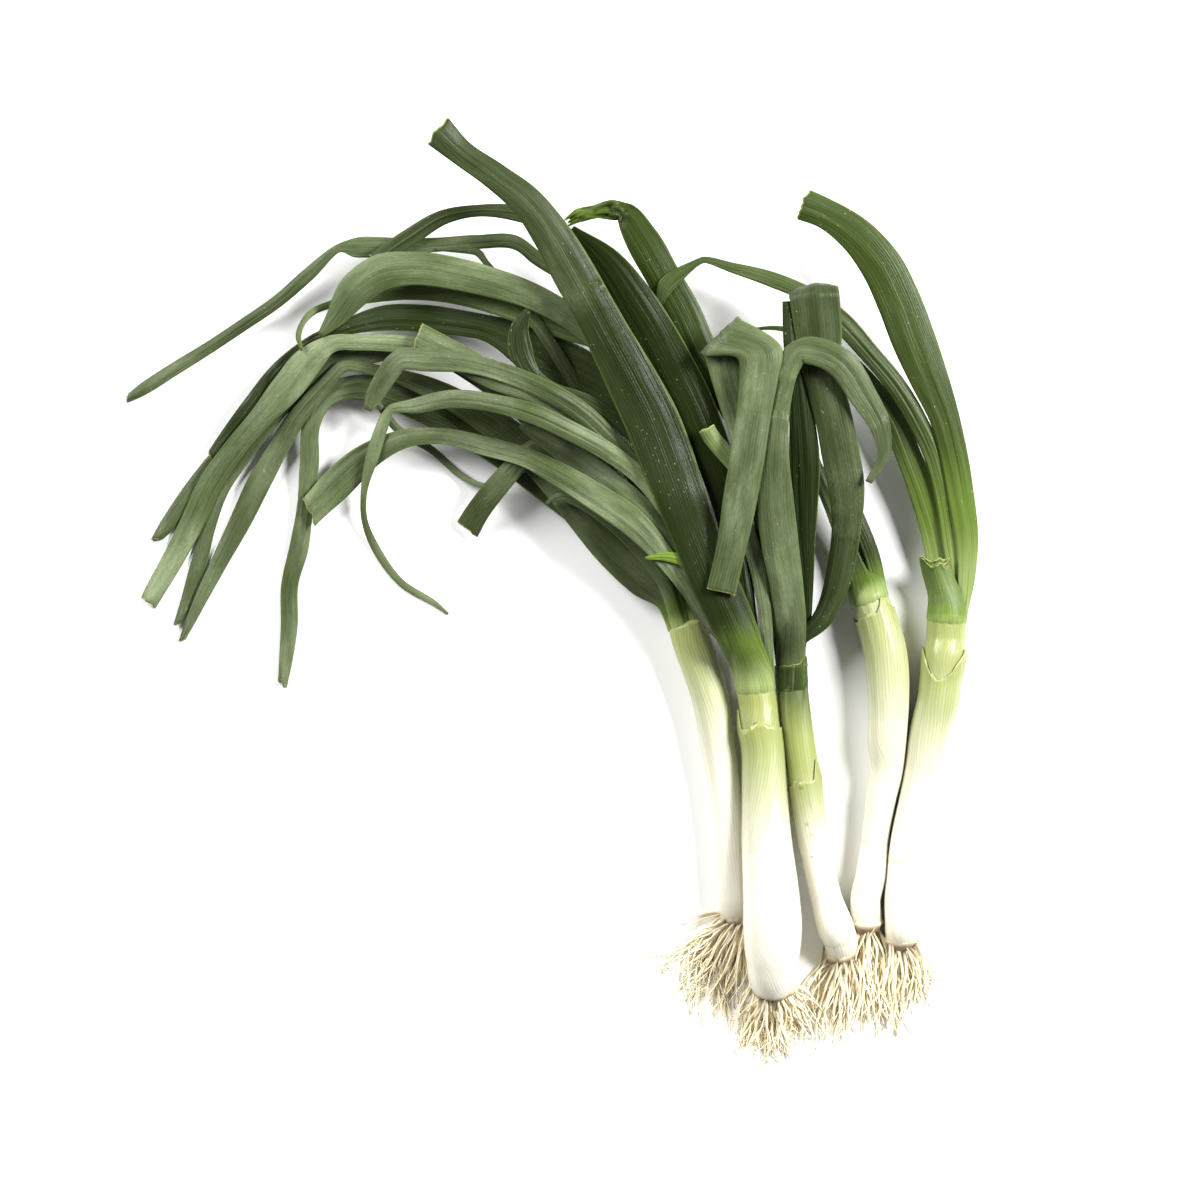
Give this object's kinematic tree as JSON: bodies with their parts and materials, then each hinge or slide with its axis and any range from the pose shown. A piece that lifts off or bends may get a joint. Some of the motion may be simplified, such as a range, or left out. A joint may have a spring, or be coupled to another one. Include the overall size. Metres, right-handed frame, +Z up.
{
  "type": "spring onion bunch",
  "caption": "Bunch of fresh spring onions lying down: white shanks fanned side by side, pale roots, and long green leaves bent over to one side.",
  "frame": {"origin": "on the surface that the bunch lies on, under the middle of its bounding box", "axes": "+Z up from the surface, +Y from the roots towards the leaves, +X to the right as seen from above with the roots nearest"},
  "size_m": [0.3574, 0.3968, 0.0469],
  "materials": {
    "leaf": "waxy dark green leaf with fine veins along it",
    "shank": "smooth white at the bulb, pale green with fine stripes towards the leaves",
    "root": "dry cream roots on a brown root plate"
  },
  "bodies": {
    "root": {"onion_a_leaf_1": "leaf", "onion_a_leaf_2": "leaf", "onion_a_leaf_3": "leaf", "onion_a_leaf_4": "leaf", "onion_a_leaf_5": "leaf", "onion_a_leaf_6": "leaf", "onion_a_leaf_7": "leaf", "onion_a_leaf_8": "leaf", "onion_a_leaf_9": "leaf", "onion_a_roots": "root", "onion_a_shank": "shank", "onion_b_leaf_1": "leaf", "onion_b_leaf_10": "leaf", "onion_b_leaf_11": "leaf", "onion_b_leaf_12": "leaf", "onion_b_leaf_2": "leaf", "onion_b_leaf_3": "leaf", "onion_b_leaf_4": "leaf", "onion_b_leaf_5": "leaf", "onion_b_leaf_6": "leaf", "onion_b_leaf_7": "leaf", "onion_b_leaf_8": "leaf", "onion_b_leaf_9": "leaf", "onion_b_roots": "root", "onion_b_shank": "shank", "onion_c_leaf_1": "leaf", "onion_c_leaf_2": "leaf", "onion_c_leaf_3": "leaf", "onion_c_leaf_4": "leaf", "onion_c_leaf_5": "leaf", "onion_c_leaf_6": "leaf", "onion_c_leaf_7": "leaf", "onion_c_leaf_8": "leaf", "onion_c_leaf_9": "leaf", "onion_c_roots": "root", "onion_c_shank": "shank", "onion_d_leaf_1": "leaf", "onion_d_leaf_2": "leaf", "onion_d_roots": "root", "onion_d_shank": "shank", "onion_e_leaf_1": "leaf", "onion_e_leaf_2": "leaf", "onion_e_leaf_3": "leaf", "onion_e_leaf_4": "leaf", "onion_e_roots": "root", "onion_e_shank": "shank"}
  },
  "joints": []
}
